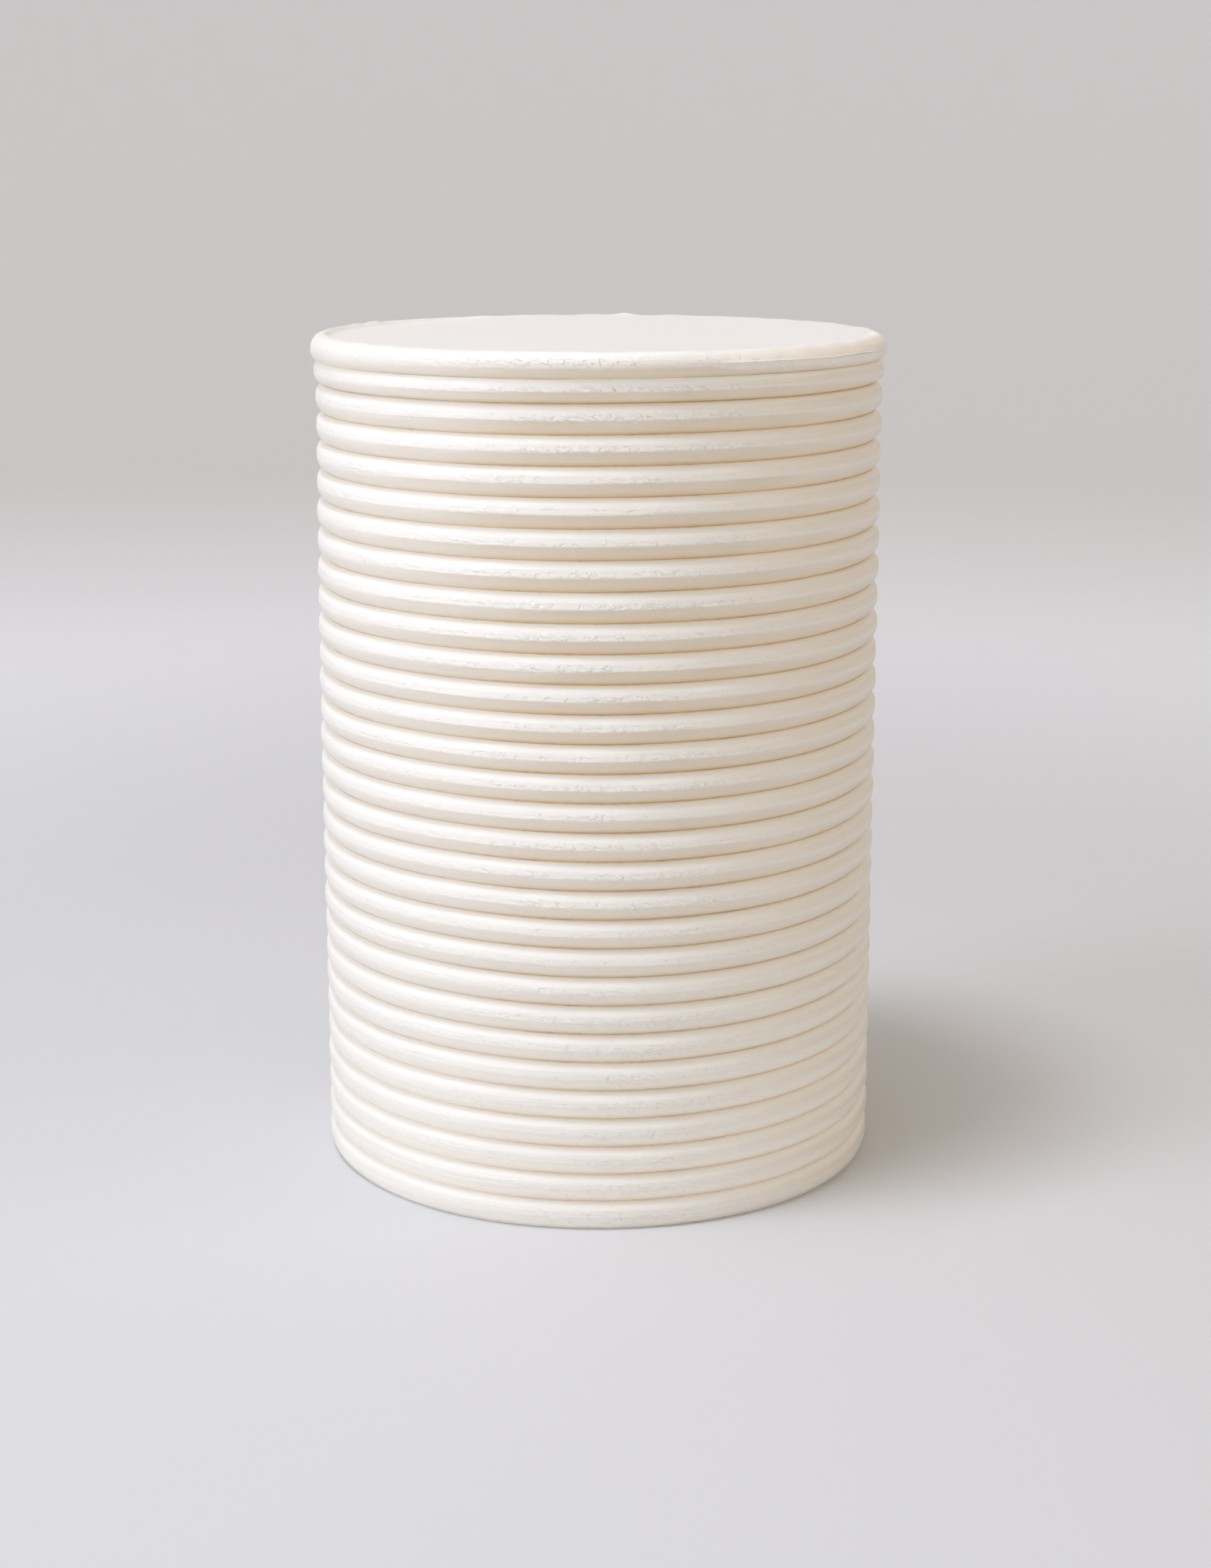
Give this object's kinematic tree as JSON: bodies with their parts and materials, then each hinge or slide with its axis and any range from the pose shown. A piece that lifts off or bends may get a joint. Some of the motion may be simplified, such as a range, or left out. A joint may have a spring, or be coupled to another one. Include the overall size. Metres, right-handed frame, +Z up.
{
  "type": "layer cake",
  "caption": "Tall round cake, uncut, iced in white buttercream combed into level rounded ridges, with a flat top inside a thin rim.",
  "frame": {"origin": "middle of the cake's base, on the surface it stands on", "axes": "+Z up along the cake's axis, -Y towards the front, +X to the right seen from the front"},
  "size_m": [0.1474, 0.1478, 0.2161],
  "materials": {
    "buttercream": "soft satin icing"
  },
  "bodies": {
    "root": {"cake": "buttercream"}
  },
  "joints": []
}
